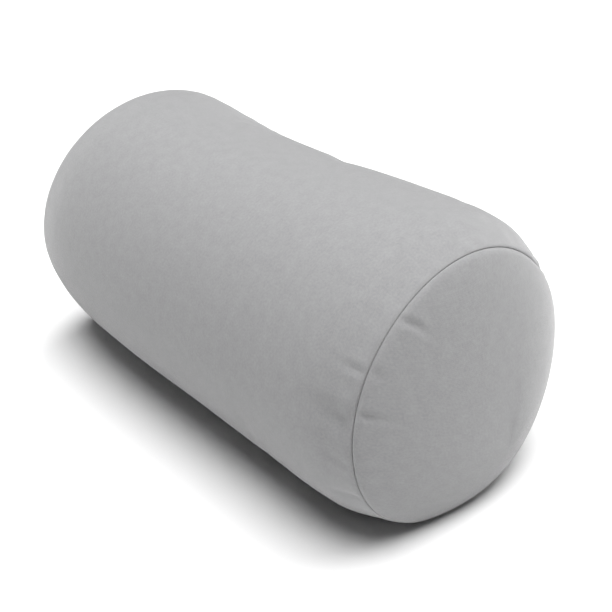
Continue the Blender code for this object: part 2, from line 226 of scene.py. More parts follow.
def swell_grid():
    """A closed coarse copy of the cover: rows from the -X crown over the body to the +X crown."""
    angle = np.arange(SWELL_COLUMNS) * math.tau / SWELL_COLUMNS
    turn = np.linspace(math.pi / 2, 0, SWELL_RINGS + 1)[:, None]
    station = np.sin(np.linspace(-1, 1, SWELL_ROWS + 1) * math.pi / 2)[:, None]
    far = end_point(-1, turn, angle)
    body = body_point(station, angle)
    near = end_point(1, turn[::-1], angle)
    return np.concatenate([far[:-1], body, near[1:]])


def swell_place(part, along):
    """The row of the coarse copy that a place on the cover lies at."""
    if part == "body":
        return SWELL_RINGS + SWELL_ROWS * (np.arcsin(np.clip(along, -1, 1)) / math.pi + 0.5)
    ring = SWELL_RINGS * along / (math.pi / 2)
    if part == "far":
        return SWELL_RINGS - ring
    return SWELL_RINGS + SWELL_ROWS + ring


def swell_cover():
    """Lets the coarse copy swell as cloth, and returns how far out each of its points moved."""
    start = swell_grid()
    rows, columns = start.shape[:2]
    cloth = cloth_grid("swelling", np.concatenate([start, start[:, :1]], axis=1), None)
    still = cloth.vertex_groups.new(name="still")
    points = mesh_points(cloth)
    zip_height = AXIS_HEIGHT + ZIP_PLANE * math.sin(ZIP_ANGLE)
    for i, point in enumerate(points):
        row = np.argmin(((start - point) ** 2).sum(-1)) // columns
        seam = row in (SWELL_RINGS, SWELL_RINGS + SWELL_ROWS)
        at_zip_height = abs(point[2] - zip_height) < STIFF_HALF_HEIGHT
        at_zip = point[1] > STIFF_BACK and at_zip_height and abs(point[0]) < STIFF_HALF_LENGTH
        if seam or at_zip or point[2] < RESTS_BELOW:
            still.add([i], 1.0, "REPLACE")
    fabric = cloth.modifiers.new("cloth", "CLOTH")
    fabric.settings.quality = 6
    fabric.settings.mass = 0.15
    fabric.settings.tension_stiffness = 12
    fabric.settings.compression_stiffness = 12
    fabric.settings.shear_stiffness = 4
    fabric.settings.bending_stiffness = 0.8
    fabric.settings.use_pressure = True
    fabric.settings.uniform_pressure_force = 4
    fabric.settings.shrink_min = -0.02
    fabric.settings.vertex_group_mass = "still"
    fabric.settings.effector_weights.gravity = 0
    fabric.collision_settings.use_collision = False
    fabric.point_cache.frame_start = 1
    fabric.point_cache.frame_end = SWELL_STEPS
    for number in range(1, SWELL_STEPS + 1):
        bpy.context.scene.frame_set(number)
    bpy.ops.object.modifier_apply(modifier=fabric.name)
    moved = mesh_points(cloth) - points
    bpy.context.scene.frame_set(1)
    bpy.data.objects.remove(cloth)
    nearest = [np.argmin(((points - p) ** 2).sum(-1)) for p in start.reshape(-1, 3)]
    out = (moved[nearest].reshape(rows, columns, 3) * normals_round(start)).sum(-1)
    limit = np.where(out > 0, SWELL_OUT, SWELL_IN)
    # It swells most round the zip, where the stiff tapes gather the knit, and least near the floor.
    from_zip = np.remainder(np.arange(columns) * math.tau / columns - ZIP_ANGLE + math.pi, math.tau)
    near_zip = 0.3 + 0.7 * np.exp(-(((from_zip - math.pi) / 0.8) ** 4))
    clear = np.clip((start[..., 2] - 0.008) / 0.04, 0, 1)
    return limit * np.tanh(out / limit) * near_zip * clear


def between(values, places, wrap):
    """Values at fractional places along the first axis, on a smooth curve through them all."""
    count = len(values)
    low = np.floor(places).astype(int)
    t = places - low
    weights = [
        (-t + 2 * t**2 - t**3) / 2,
        (2 - 5 * t**2 + 3 * t**3) / 2,
        (t + 4 * t**2 - 3 * t**3) / 2,
        (t**3 - t**2) / 2,
    ]
    total = 0
    for k, weight in enumerate(weights):
        index = low - 1 + k
        index = index % count if wrap else np.clip(index, 0, count - 1)
        total = total + values[index] * weight.reshape(-1, *[1] * (values.ndim - 1))
    return total


def swell_at(part, along, angle):
    """How far out the cloth moves at rows of one place along and columns of one angle each."""
    if SWELL is None:
        return np.zeros((len(along), len(angle), 1))
    rows = between(SWELL, swell_place(part, along), False)
    columns = (angle / math.tau * SWELL_COLUMNS) % SWELL_COLUMNS
    return between(rows.T, columns, True).T[..., None]


# Making and finishing pieces.


def mesh_points(obj):
    points = np.empty(len(obj.data.vertices) * 3)
    obj.data.vertices.foreach_get("co", points)
    return points.reshape(-1, 3)


def deselect():
    bpy.ops.object.select_all(action="DESELECT")


def settle():
    """Puts the active object's place, turn and size into its points."""
    bpy.ops.object.transform_apply(location=True, rotation=True, scale=True)


def only(obj):
    """Makes one object the selected and active one."""
    deselect()
    obj.select_set(True)
    bpy.context.view_layer.objects.active = obj


def edit(*steps):
    """Runs steps in edit mode on the active object, with all of it selected at the start."""
    bpy.ops.object.mode_set(mode="EDIT")
    select_everything()
    for step in steps:
        step()
    bpy.ops.object.mode_set(mode="OBJECT")


def select_everything():
    bpy.ops.mesh.select_all(action="SELECT")


def merge_close():
    bpy.ops.mesh.remove_doubles(threshold=0.000002)


def face_out():
    bpy.ops.mesh.normals_make_consistent(inside=False)


def cloth_grid(name, points, ruler):
    """A cloth whose grid lies at the points, closed where they meet. Its UV map is the ruler's,
    in metres."""
    rows, columns = points.shape[:2]
    deselect()
    bpy.ops.mesh.primitive_grid_add(x_subdivisions=columns - 1, y_subdivisions=rows - 1, size=1)
    cloth = bpy.context.object
    cloth.name = name
    cloth.data.name = name
    cloth.data.vertices.foreach_set("co", points.reshape(-1))
    if ruler is not None:
        corners = np.empty(len(cloth.data.loops), int)
        cloth.data.loops.foreach_get("vertex_index", corners)
        cloth.data.uv_layers[0].data.foreach_set("uv", ruler.reshape(-1, 2)[corners].reshape(-1))
    edit(merge_close, face_out)
    return cloth


def modifier(obj, name, kind, **settings):
    """Adds a modifier, sets it and applies it."""
    only(obj)
    added = obj.modifiers.new(name, kind)
    for key, value in settings.items():
        setattr(added, key, value)
    bpy.ops.object.modifier_apply(modifier=added.name)


def thicken(cloth, thickness):
    modifier(
        cloth,
        "cloth thickness",
        "SOLIDIFY",
        thickness=thickness,
        offset=-1,
        use_quality_normals=True,
    )
    cloth.data.shade_smooth()


def finish_piece(piece, body, material, slot, *nodes):
    """Gives a piece its material and its body, and hides the nodes it stands for. Its slot is not
    used.
    """
    piece.data.materials.clear()
    piece.data.materials.append(material)
    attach(piece, body)
    if nodes:
        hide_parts(*nodes)


# Materials.


def hex_colour(text):
    """The linear colour of an sRGB hex value."""
    parts = [int(text[i : i + 2], 16) / 255 for i in (1, 3, 5)]
    linear = [p / 12.92 if p <= 0.04045 else ((p + 0.055) / 1.055) ** 2.4 for p in parts]
    return (*linear, 1.0)


def add_node(material, kind, inputs=(), **settings):
    """Adds a node. Each input takes a value, or a pair: the node it comes from and its output."""
    node = material.node_tree.nodes.new("ShaderNode" + kind)
    for key, value in settings.items():
        setattr(node, key, value)
    for key, value in dict(inputs).items():
        if isinstance(value, tuple) and hasattr(value[0], "outputs"):
            material.node_tree.links.new(value[0].outputs[value[1]], node.inputs[key])
        else:
            node.inputs[key].default_value = value
    return node


def new_material(name, colour, **sockets):
    """A named material with its shader's own sockets set."""
    material = bpy.data.materials.new(name)
    material.use_nodes = True
    shader = material.node_tree.nodes["Principled BSDF"]
    shader.inputs["Base Color"].default_value = hex_colour(colour)
    for key, value in sockets.items():
        shader.inputs[key.replace("_", " ")].default_value = value
    return material, shader


def give(material, shader, socket, source, output):
    material.node_tree.links.new(source.outputs[output], shader.inputs[socket])


def raised(material, shader, height, strength, distance):
    """Lets a pattern's height show in the surface's light and shade."""
    inputs = {"Height": height, "Strength": strength, "Distance": distance}
    give(material, shader, "Normal", add_node(material, "Bump", inputs), "Normal")


def coloured(material, shader, factor, dark, light):
    """Lets a pattern from 0 to 1 choose the base colour between two."""
    ramp = add_node(material, "ValToRGB", {"Fac": factor})
    ramp.color_ramp.elements[0].color = hex_colour(dark)
    ramp.color_ramp.elements[1].color = hex_colour(light)
    give(material, shader, "Base Color", ramp, "Color")


def worked_out(material, operation, first, second=0.0, third=0.0):
    """A number worked out from one, two or three others."""
    return add_node(material, "Math", {0: first, 1: second, 2: third}, operation=operation), 0


def soft_patches(material, where, size, detail=2.0):
    """Soft uneven patches about as large as the size, in metres."""
    inputs = {"Vector": where, "Scale": 1 / size, "Detail": detail, "Roughness": 0.55}
    return add_node(material, "TexNoise", inputs), "Fac"


def stretch_knit():
    """Polyester and elastane jersey, knitted fine and brushed: matte, with columns of small V
    stitches and a faint bloom of loose fibre. Its columns are 0.6 mm apart, and are drawn 1.1 mm
    apart so that they show. Fibre mottles it in patches of 1.4 mm, and its pressed nap in patches
    of 7 mm."""
    material, shader = new_material(
        "brushed_stretch_jersey",
        "#989899",
        Roughness=0.92,
        Specular_IOR_Level=0.15,
        Sheen_Weight=0.6,
        Sheen_Roughness=0.45,
    )
    uv = add_node(material, "TexCoord"), "UV"
    scale = {"Vector": uv, "Scale": (1 / 0.0011, 1 / 0.0009, 1)}
    split = add_node(material, "SeparateXYZ", {0: (add_node(material, "Mapping", scale), 0)})
    column = worked_out(material, "PINGPONG", (split, "X"), 0.5)
    row = worked_out(material, "MULTIPLY_ADD", column, 1.2, (split, "Y"))
    leg = worked_out(material, "SINE", worked_out(material, "MULTIPLY", column, math.tau))
    loop = worked_out(material, "SINE", worked_out(material, "MULTIPLY", row, math.tau))
    stitch = worked_out(material, "MULTIPLY_ADD", loop, 0.3, leg)
    fibre = soft_patches(material, uv, 0.0014, 3.0)
    height = worked_out(material, "MULTIPLY_ADD", fibre, 1.3, stitch)
    raised(material, shader, height, 0.4, 0.00012)
    pressed_nap = soft_patches(material, uv, 0.007, 4.0)
    shade = worked_out(material, "MULTIPLY", pressed_nap, 0.45)
    shade = worked_out(material, "MULTIPLY_ADD", stitch, 0.12, shade)
    shade = worked_out(material, "MULTIPLY_ADD", fibre, 0.7, shade)
    coloured(material, shader, shade, "#808081", "#A4A4A5")
    return material


def twisted_thread(name, dark, light):
    """Spun polyester sewing thread, twisted from two plies: a fine slanting twist and soft lustre.
    A twist is 0.7 mm long, and is drawn 1.4 mm long so that it shows."""
    material, shader = new_material(name, dark, Roughness=0.7, Sheen_Weight=0.3)
    place = add_node(material, "TexCoord"), "Object"
    turned = {"Vector": place, "Rotation": (0.6, 0.5, 0.8)}
    slanted = add_node(material, "Mapping", turned), 0
    twist = add_node(material, "TexWave", {"Vector": slanted, "Scale": 1 / 0.0045})
    raised(material, shader, (twist, "Fac"), 0.5, 0.00008)
    coloured(material, shader, (twist, "Fac"), dark, light)
    return material


def woven_tape():
    """Woven polyester zip tape: a tight fine twill, a little darker than the knit. Its ribs are
    0.35 mm apart, and are drawn 1.4 mm apart so that they show."""
    material, shader = new_material("woven_zip_tape", "#949496", Roughness=0.8, Sheen_Weight=0.15)
    place = add_node(material, "TexCoord"), "Object"
    turned = {"Vector": place, "Rotation": (0, 0, math.radians(35))}
    slanted = add_node(material, "Mapping", turned), 0
    ribs = add_node(material, "TexWave", {"Vector": slanted, "Scale": 1 / 0.0044})
    fluff = soft_patches(material, place, 0.0005)
    height = worked_out(material, "MULTIPLY_ADD", fluff, 0.5, (ribs, "Fac"))
    raised(material, shader, height, 0.5, 0.0001)
    coloured(material, shader, (ribs, "Fac"), "#87878A", "#9A9A9C")
    return material


def moulded_teeth():
    """Injection-moulded acetal: smooth and waxy, with a soft highlight and the faintest orange
    peel."""
    material, shader = new_material(
        "moulded_acetal_teeth", "#85868A", Roughness=0.38, IOR=1.48, Specular_IOR_Level=0.5
    )
    place = add_node(material, "TexCoord"), "Object"
    peel = soft_patches(material, place, 0.0007)
    raised(material, shader, peel, 0.15, 0.00005)
    coloured(material, shader, soft_patches(material, place, 0.004), "#808186", "#8A8B8F")
    return material


def plated_zinc():
    """Zinc casting, tumbled and nickel plated: a soft warm metal shine, rubbed brighter and duller
    in small patches where it is handled."""
    material, shader = new_material("nickel_plated_zinc", "#ACAAA5", Metallic=1.0, Roughness=0.3)
    place = add_node(material, "TexCoord"), "Object"
    worn = soft_patches(material, place, 0.003, 4.0)
    span = {"Value": worn, "To Min": 0.22, "To Max": 0.42}
    give(material, shader, "Roughness", add_node(material, "MapRange", span), 0)
    raised(material, shader, soft_patches(material, place, 0.0004), 0.08, 0.00004)
    coloured(material, shader, worn, "#A09E99", "#B8B5B0")
    return material


def satin_ribbon():
    """Woven polyester satin: white, with a soft silky shine along its fine threads, 0.2 mm apart
    and drawn 0.8 mm apart so that they show."""
    material, shader = new_material(
        "white_satin_ribbon", "#E6E6E2", Roughness=0.42, Sheen_Weight=0.2
    )
    uv = add_node(material, "TexCoord"), "UV"
    threads = add_node(material, "TexWave", {"Vector": uv, "Scale": 1 / 0.0025})
    raised(material, shader, (threads, "Fac"), 0.25, 0.00005)
    coloured(material, shader, (threads, "Fac"), "#DEDEDA", "#EAEAE6")
    return material


def liner_weave():
    """Plain-woven polycotton lining: thin, white and matte, with a crossed weave of threads 0.35 mm
    apart, drawn 0.8 mm apart so that they show."""
    material, shader = new_material("white_plain_weave", "#E4E3DF", Roughness=0.9, Sheen_Weight=0.15)
    uv = add_node(material, "TexCoord"), "UV"
    scale = {"Vector": uv, "Scale": (math.tau / 0.0008, math.tau / 0.0008, 1)}
    split = add_node(material, "SeparateXYZ", {0: (add_node(material, "Mapping", scale), 0)})
    warp = worked_out(material, "SINE", (split, "X"))
    weft = worked_out(material, "SINE", (split, "Y"))
    weave = worked_out(material, "MULTIPLY", warp, weft)
    raised(material, shader, weave, 0.4, 0.0001)
    shade = worked_out(material, "MULTIPLY_ADD", weave, 0.3, soft_patches(material, uv, 0.02))
    coloured(material, shader, shade, "#DAD9D5", "#E8E7E3")
    return material


def foam_beads():
    """Expanded polystyrene beads, steamed and loose: bright white packed balls about 1.5 mm
    across, drawn 2.5 mm across so that they show. Painted shade darkens the gaps between the balls."""
    material, shader = new_material("polystyrene_beads", "#F0F0EE", Roughness=0.65)
    place = add_node(material, "TexCoord"), "Object"
    packed = {"Vector": place, "Scale": 1 / 0.0025}
    balls = add_node(material, "TexVoronoi", packed)
    height = worked_out(material, "SUBTRACT", 1.0, (balls, "Distance"))
    raised(material, shader, height, 0.8, 0.0006)
    # The bumps' height also sets the colour: painted shade, darker towards each ball's edge and in
    # the gaps between balls.
    coloured(material, shader, height, "#CFCFCC", "#F4F4F2")
    return material


def pale_floor():
    """Matte white studio board: very pale and even, with the faintest unevenness."""
    material, shader = new_material("white_studio_board", "#F4F4F4", Roughness=0.9)
    place = add_node(material, "TexCoord"), "Object"
    coloured(material, shader, soft_patches(material, place, 0.5), "#F3F3F3", "#F5F5F5")
    return material


# The cover's cloth panels.

SEAM_ROLL = 0.0020
GROOVE = 0.6
SEAM_HOLDS = 0.002
PUCKER_REACH = 0.006
PUCKER_HEIGHT = 0.00011
# Where the near end's cloth dents in at its seam: angle, how much more it rolls in, and over what.
DENTS = [(math.radians(164), 0.0042, 0.45), (math.radians(32), 0.0016, 0.35)]


def seam_roll(angle, side):
    """How far from the end seam the cloth starts to roll in: more where the pillow is dented."""
    roll = np.full_like(angle, SEAM_ROLL)
    for place, more, reach in DENTS if side > 0 else ():
        roll = roll + more * np.exp(-((turned_from(angle, place) / reach) ** 2))
    return roll


def puckers(angle, distance, side):
    """Small gathers where the wider body is eased on to its end panel, fading into the body."""
    wave = np.sin(17 * angle + 1.3 * side) + 0.8 * np.sin(29 * angle + 2.1)
    wave = wave + 0.6 * np.sin(43 * angle + 0.7 * side)
    reach = distance / PUCKER_REACH
    return PUCKER_HEIGHT * wave * reach * np.exp(1 - reach)


def freed(distance):
    """How free the cloth is to crease at a distance from an end seam: 0 at the seam, 1 away."""
    return 1 - np.exp(-((distance / SEAM_HOLDS) ** 2))


# Creases on the cover. Each has its panel, its angle round the pillow, its distance from the near
# end seam, its heading from straight along the pillow, its length, its width and its depth, in
# degrees and millimetres.
CREASES = [
    ("near_end", 123, 30, -11, 34, 3.2, 1.4),
    ("near_end", 162, 29, -3, 44, 3.6, 1.7),
    ("near_end", 146, 20, 0, 26, 4.0, 0.9),
    ("body", 148, 5, 4, 20, 3.0, 1.3),
    ("body", 168, 7, -16, 30, 9.0, 3.2),
    ("body", 185, 6, -24, 17, 3.6, 0.7),
    ("body", 203, 6, -5, 20, 3.6, 0.7),
]


def creased(panel, angle, distance):
    """How far the creases of a panel raise its cloth, in metres."""
    total = np.zeros(np.broadcast(angle, distance).shape)
    for where, at, away, heading, length, width, depth in CREASES:
        if where != panel:
            continue
        round_it = turned_from(angle, math.radians(at)) * SEAM_RADIUS
        along = distance - away / 1000
        tilt = math.radians(heading)
        run = (along * math.cos(tilt) + round_it * math.sin(tilt)) / (length / 2000)
        rise = (round_it * math.cos(tilt) - along * math.sin(tilt)) / (width / 1000)
        fold = (1 - 0.9 * rise**2) * np.exp(-(rise**2))
        total = total - depth / 1000 * fold * np.exp(-(run**2))
    return total


def rolled_in(last, seam, side, roll):
    """Rows that take a cloth from its last row on show round its edge and down into the seam."""
    inward = into_seam(seam, side)
    bottom = seam + inward * GROOVE * roll[..., None]
    rows = []
    for t in np.linspace(0.2, 1, 5):
        rows.append((1 - t) ** 2 * last + 2 * t * (1 - t) * seam + t**2 * bottom)
    return rows + [seam + inward * SEAM_DEPTH / 2, seam + inward * SEAM_DEPTH]


def pulled_closed(values):
    """Puts the first column after the last, where a panel goes right round."""
    return np.concatenate([values, values[:, :1]], axis=1)


def normals_round(points):
    """Outward normals of rows of points that go right round."""
    around = np.roll(points, -1, axis=1) - np.roll(points, 1, axis=1)
    return unit(np.cross(around, np.gradient(points, axis=0)))


def body_stations(straight_round):
    """Rows along the body, from seam to seam. Near the seams they follow the seams' rolls."""
    half = BODY_LENGTH / 2
    even = np.linspace(-1, 1, BODY_ROWS)
    on_show = (even * (1.35 - 0.35 * even**2))[:, None]
    level = 1 - ROWS_LEVEL_TO / half
    on_show = on_show[np.abs(on_show[:, 0]) < level]
    on_show = np.broadcast_to(on_show, (len(on_show), AROUND + 1))
    far_roll, near_roll = [1 - seam_roll(straight_round, s)[None] / half for s in (-1, 1)]
    part_way = np.array([0.35, 0.7, 1.0])[:, None]
    far_rows = level + (far_roll - level) * part_way
    near_rows = level + (near_roll - level) * part_way
    seam = np.ones((1, AROUND + 1))
    return np.concatenate([-seam, -far_rows[::-1], on_show, near_rows, seam])


def slot_half_angle(station):
    """Half of the angle that the zip's slot opens the body by, closing past the slot's ends."""
    x_at_zip = body_point(station, ZIP_ANGLE)[..., 0]
    past = np.clip((np.abs(x_at_zip) - SLOT_END + 0.003) / 0.005, 0, 1)
    edge = SLOT_HALF * (1 - past * past * (3 - 2 * past)) + HEM_RADIUS + 0.00005
    return edge / ZIP_PLANE


def with_hems(points, round_it, along):
    """Adds a turned-under hem along both long edges of the body's grid and of its rulers."""
    down = np.array([0, math.sin(ZIP_ANGLE), -math.cos(ZIP_ANGLE)])
    out = np.array([0, math.cos(ZIP_ANGLE), math.sin(ZIP_ANGLE)])
    fold = []
    for a in np.linspace(0.5, math.pi, 6):
        fold.append((-math.sin(a) * HEM_RADIUS, (math.cos(a) - 1) * HEM_RADIUS))
    for share in (0.3, 0.65, 1.0):
        fold.append((HEM_UNDER * share, -2 * HEM_RADIUS))
    hems, rulers = [], []
    for side, column in ((-1, 0), (1, -1)):
        hem = [points[:, column] + side * dv * down + dn * out for dv, dn in fold]
        ruler = [round_it[:, column] + side * 0.0006 * (k + 1) for k in range(len(fold))]
        hems.append(np.stack(hem, axis=1))
        rulers.append(np.stack(ruler, axis=1))
    points = np.concatenate([hems[0][:, ::-1], points, hems[1]], axis=1)
    round_it = np.concatenate([rulers[0][:, ::-1], round_it, rulers[1]], axis=1)
    first, last = [along[:, :1]] * len(fold), [along[:, -1:]] * len(fold)
    return points, round_it, np.concatenate([*first, along, *last], axis=1)


def cover_body(material):
    """The body's rectangle of knit, wrapped round the filling with its long edges at the zip."""
    half = BODY_LENGTH / 2
    share = np.linspace(0, 1, AROUND + 1)
    straight_round = ZIP_ANGLE + share * math.tau
    station = body_stations(straight_round)
    open_by = slot_half_angle(station[:, :1])
    angle = ZIP_ANGLE + open_by + share * (math.tau - 2 * open_by)
    points = body_point(station, angle)
    from_near, from_far = (1 - station) * half, (1 + station) * half
    relief = puckers(angle, from_near, 1) + puckers(angle, from_far, -1)
    relief = relief + creased("body", angle, from_near)
    fade = freed(np.minimum(from_near, from_far))
    fade = fade * np.clip((np.abs(turned_from(angle, ZIP_ANGLE)) - 0.15) / 0.15, 0, 1)
    outward = outward_of(points)
    points = points + outward * (relief * fade)[..., None]
    points = points + outward * swell_at("body", station[:, AROUND // 2], straight_round)
    points[0, :, 0] += SEAM_HALF_GAP
    points[-1, :, 0] -= SEAM_HALF_GAP
    far = rolled_in(points[1], points[0], -1, seam_roll(straight_round, -1))
    near = rolled_in(points[-2], points[-1], 1, seam_roll(straight_round, 1))
    points = np.stack([*far[::-1], *points[1:-1], *near])
    points[..., 2] = np.maximum(points[..., 2], 0.0)
    turned_in = np.linspace(-half - SEAM_DEPTH, -half, len(far))[:, None]
    turned_in = np.broadcast_to(turned_in, (len(far), AROUND + 1))
    along = np.concatenate([turned_in, station[1:-1] * half, -turned_in[::-1]])
    round_it = np.broadcast_to(straight_round * SEAM_RADIUS, along.shape)
    points, round_it, along = with_hems(points, round_it, along)
    cloth = cloth_grid("cover_body_knit", points, np.stack([round_it, along], axis=-1))
    thicken(cloth, KNIT_SHOWN)
    finish_piece(cloth, "pillow", material, "cover_knit", "cover_body_panel")


def cover_end(name, side, material, node):
    """An end's disc of knit, domed by the filling."""
    angle = ZIP_ANGLE + np.arange(AROUND) / AROUND * math.tau
    start = (SEAM_ROLL / END_RISE) ** (1 / (2 * DOME_FULLNESS))
    rings = math.pi / 2 * np.linspace(0, 1, END_RINGS) ** 1.15
    rings = rings[rings > start * 1.15]
    turn = np.concatenate([[0.0, start], rings])[:, None]
    turn = np.broadcast_to(turn, (len(turn), AROUND))
    points = end_point(side, turn, angle)
    points[-1] = points[-1].mean(axis=0)
    distance = SEAM_RADIUS * turn
    relief = 0.6 * puckers(angle, distance, -side)
    relief = relief + creased("near_end" if side > 0 else "far_end", angle, distance)
    relief = relief * np.cos(turn) * freed(distance)
    swell = swell_at("near" if side > 0 else "far", turn[:, 0], angle)
    moved = relief[..., None] + swell
    points[:-1] += (side * normals_round(points) * moved)[:-1]
    points[-1] = points[-1].mean(axis=0)
    points[0, :, 0] += side * SEAM_HALF_GAP
    edge = rolled_in(points[1], points[0], side, seam_roll(angle, side))
    turned_in = np.linspace(SEAM_RADIUS + SEAM_DEPTH, SEAM_RADIUS, len(edge))
    flat = np.concatenate([turned_in, SEAM_RADIUS * np.cos(turn[1:, 0])])
    points = np.stack([*edge[::-1], *points[1:]])
    points[..., 2] = np.maximum(points[..., 2], 0.0)
    ruler = flat[:, None, None] * np.stack([np.cos(angle), np.sin(angle)], axis=-1)
    cloth = cloth_grid(name, pulled_closed(points), pulled_closed(ruler))
    thicken(cloth, KNIT_SHOWN)
    finish_piece(cloth, "pillow", material, "cover_knit", node)


# What the cover holds.


def dented(points, angle, from_near):
    """Presses a layer of the filled pillow in where a crease of the body presses its cover in."""
    hollow = np.minimum(creased("body", angle, from_near), 0.0) * freed(from_near)
    return points + outward_of(points) * hollow[..., None]


def liner_body(material):
    station = np.sin(np.linspace(-1, 1, 61) * math.pi / 2)[:, None]
    angle = np.linspace(0, math.tau, 121)
    points = body_point(station, angle, LINER_LAYER)
    points = dented(points, angle, (1 - station) * BODY_LENGTH / 2)
    points[0, :, 0] += LINER_HALF_GAP
    points[-1, :, 0] -= LINER_HALF_GAP
    ruler = np.stack(np.broadcast_arrays(angle * SEAM_RADIUS, station * BODY_LENGTH / 2), axis=-1)
    points[:, -1] = points[:, 0]
    cloth = cloth_grid("liner_body_cloth", points, ruler)
    thicken(cloth, LINER_SHOWN)
    finish_piece(cloth, "pillow", material, "liner_cloth", "liner_body_panel")


def liner_end(name, side, material, node):
    angle = np.arange(120) * math.tau / 120
    turn = math.pi / 2 * np.linspace(0, 1, 31)[:, None]
    points = end_point(side, turn, angle, LINER_LAYER)
    points[..., 0] += side * LINER_HALF_GAP
    points[-1] = points[-1].mean(axis=0)
    spokes = np.stack([np.cos(angle), np.sin(angle)], axis=-1)
    ruler = (SEAM_RADIUS * np.cos(turn))[..., None] * spokes
    cloth = cloth_grid(name, pulled_closed(points), pulled_closed(ruler))
    thicken(cloth, LINER_SHOWN)
    finish_piece(cloth, "pillow", material, "liner_cloth", node)


def bead_filling(material):
    """The beads as they lie packed inside the liner, their outer layer in fine bumps."""
    angle = np.arange(160) * math.tau / 160
    turn = np.linspace(math.pi / 2, 0, 25)[:, None]
    station = np.sin(np.linspace(-1, 1, 81) * math.pi / 2)[:, None]
    far = end_point(-1, turn, angle, FILL_LAYER)
    body = body_point(station, angle, FILL_LAYER)
    body = dented(body, angle, (1 - station) * BODY_LENGTH / 2)
    near = end_point(1, turn[::-1], angle, FILL_LAYER)
    points = np.concatenate([far[:-1], body, near[1:]])
    row = np.arange(len(points))[:, None]
    bumps = np.sin(row * 2.1 + 1.7 * np.sin(angle * 23)) * np.sin(angle * 61 + 0.9 * row)
    points = points - normals_round(points) * (0.00012 * (1 + bumps))[..., None]
    points[0] = points[0].mean(axis=0)
    points[-1] = points[-1].mean(axis=0)
    beads = cloth_grid("bead_fill", pulled_closed(points), None)
    beads.data.shade_smooth()
    finish_piece(beads, "pillow", material, "foam_beads", "bead_filling")


# Stitches.


def stitch_model(length, thickness):
    """One stitch: a short rounded strand lying along X."""
    deselect()
    bpy.ops.mesh.primitive_uv_sphere_add(segments=6, ring_count=6, radius=0.5)
    stitch = bpy.context.object

    def lie_along():
        bpy.ops.transform.rotate(value=math.pi / 2, orient_axis="Y", center_override=(0, 0, 0))

    edit(lie_along)
    stitch.scale = (length, thickness, thickness)
    settle()
    return stitch


def stitches_along(name, path, normals, length, pitch, thickness, slant=0.0):
    """A closed run of stitches along a path, each one copied from a single stitch."""
    model = stitch_model(length, thickness)
    closed = np.concatenate([path, path[:1]])
    normals = np.concatenate([normals, normals[:1]])
    walked = np.concatenate([[0], np.cumsum(np.linalg.norm(np.diff(closed, axis=0), axis=1))])
    count = int(walked[-1] / pitch)
    run = bmesh.new()
    for k in range(count):
        at = (k + 0.5) * walked[-1] / count
        here = Vector([np.interp(at, walked, closed[:, i]) for i in range(3)])
        ahead = Vector([np.interp(at + 0.0003, walked, closed[:, i]) for i in range(3)])
        up = Vector([np.interp(at, walked, normals[:, i]) for i in range(3)]).normalized()
        forward = (ahead - here).normalized()
        across = up.cross(forward).normalized()
        forward = (forward + across * slant).normalized()
        across = up.cross(forward).normalized()
        place = Matrix((forward, across, forward.cross(across))).transposed().to_4x4()
        place.translation = here
        copied = model.data.copy()
        copied.transform(place)
        run.from_mesh(copied)
        bpy.data.meshes.remove(copied)
    run.to_mesh(model.data)
    run.free()
    model.name = name
    model.data.name = name
    model.data.shade_smooth()
    return model


def end_seam_stitches(name, side, depth, layer, material, slot, node, slant=0.0):
    """Stitches round an end seam of a layer, as deep in it as the depth says at each angle."""
    angle = np.arange(240) * math.tau / 240
    seam = body_point(float(side), angle, layer)
    inward = into_seam(seam, side)
    path = seam + inward * depth(angle)[:, None]
    run = stitches_along(name, path, -inward, 0.0026, 0.0028, 0.00042, slant)
    finish_piece(run, "pillow", material, slot, node)


# The zip. Its pieces are made flat in its own frame and then laid on the back.

DOWN_BACK = Vector((0, math.sin(ZIP_ANGLE), -math.cos(ZIP_ANGLE)))
OUT_OF_BACK = Vector((0, math.cos(ZIP_ANGLE), math.sin(ZIP_ANGLE)))
BACK = Matrix((Vector((1, 0, 0)), DOWN_BACK, OUT_OF_BACK)).transposed().to_4x4()
BACK.translation = OUT_OF_BACK * ZIP_PLANE + Vector((0, 0, AXIS_HEIGHT))


def block(name, low, high):
    """A block between two corners, in the zip's frame."""
    low, high = Vector(low), Vector(high)
    deselect()
    bpy.ops.mesh.primitive_cube_add(size=1, location=(low + high) / 2, scale=high - low)
    settle()
    bpy.context.object.name = name
    bpy.context.object.data.name = name
    return bpy.context.object


def pick(test):
    """In edit mode, selects only the faces whose centre and normal pass the test."""
    bpy.ops.mesh.select_mode(type="FACE")
    mesh = bmesh.from_edit_mesh(bpy.context.object.data)
    for face in mesh.faces:
        face.select_set(bool(test(face.calc_center_median(), face.normal)))
    mesh.select_flush_mode()
    bmesh.update_edit_mesh(bpy.context.object.data)


def combine(piece, other, operation):
    """Joins another shape to a piece, or cuts it out, and removes the other."""
    modifier(piece, "shape", "BOOLEAN", operation=operation, solver="EXACT", object=other)
    bpy.data.objects.remove(other)


def soften(piece, width, segments=2):
    modifier(piece, "rounding", "BEVEL", width=width, segments=segments, limit_method="ANGLE")
    piece.data.shade_smooth()
    only(piece)
    bpy.ops.object.shade_smooth_by_angle(angle=math.radians(35))


def lay_on_back(piece, shift=0.0):
    piece.data.transform(BACK @ Matrix.Translation((shift, 0, 0)))


